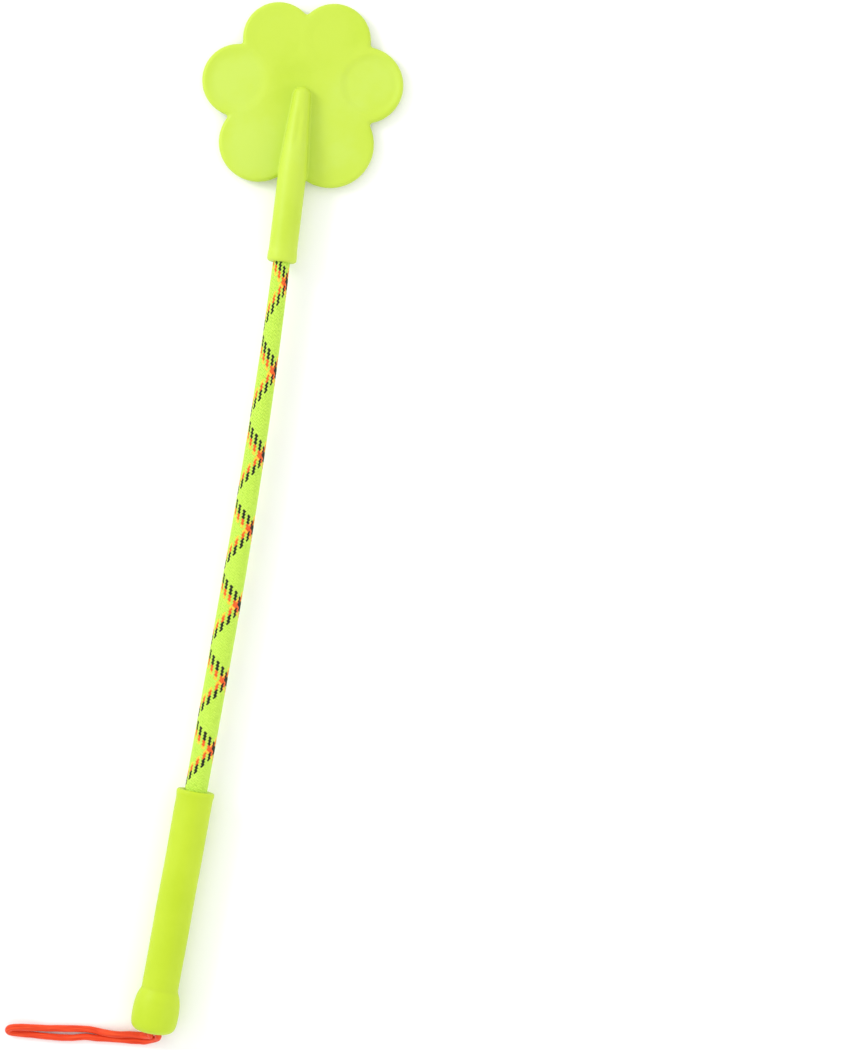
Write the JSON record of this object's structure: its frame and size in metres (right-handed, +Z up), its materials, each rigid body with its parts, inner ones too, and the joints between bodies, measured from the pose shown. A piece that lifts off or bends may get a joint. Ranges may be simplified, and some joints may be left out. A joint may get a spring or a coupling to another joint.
{
  "type": "soft-headed hand stick",
  "caption": "Springy hand stick with a soft lobed, paw-shaped head, braided shaft, smooth grip with a bulb end and a cord wrist loop.",
  "frame": {"origin": "under the middle of the stick's box without its wrist loop, on the surface that it lies on", "axes": "+Y along the stick from the bulb to the head, +X across the head to its right as seen from above, +Z up from the striking face to the ribbed back of the head"},
  "size_m": [0.1123, 0.54, 0.0233],
  "materials": {
    "rod": "pultruded glass fibre",
    "inner_plastic": "plain",
    "filler": "plain",
    "whipping": "adhesive cloth tape",
    "braid": "braided yarn, neon green with black, orange and yellow tracers",
    "head": "satin, slightly translucent soft moulding",
    "grip": "satin soft moulding",
    "pommel": "satin soft moulding",
    "washer": "plain",
    "cord": "satin cord"
  },
  "bodies": {
    "stick": {"core_rod": "rod", "tip_cap": "inner_plastic", "butt_plug": "inner_plastic", "shaft_filler": "filler", "lower_whipping": "whipping", "upper_whipping": "whipping", "braided_sleeve": "braid", "paw_head": "head", "grip_sleeve": "grip", "pommel_cap": "pommel", "retaining_washer": "washer", "loop_knot": "cord", "cord_neck": "cord"},
    "loop": {"wrist_loop": "cord"}
  },
  "joints": [
    {"name": "loop_swing", "type": "hinge", "parent": "stick", "child": "loop", "pos_m": [0.01187, -0.26722, 0.006], "axis": [0, 0, 1], "range_deg": [0, 160]}
  ]
}
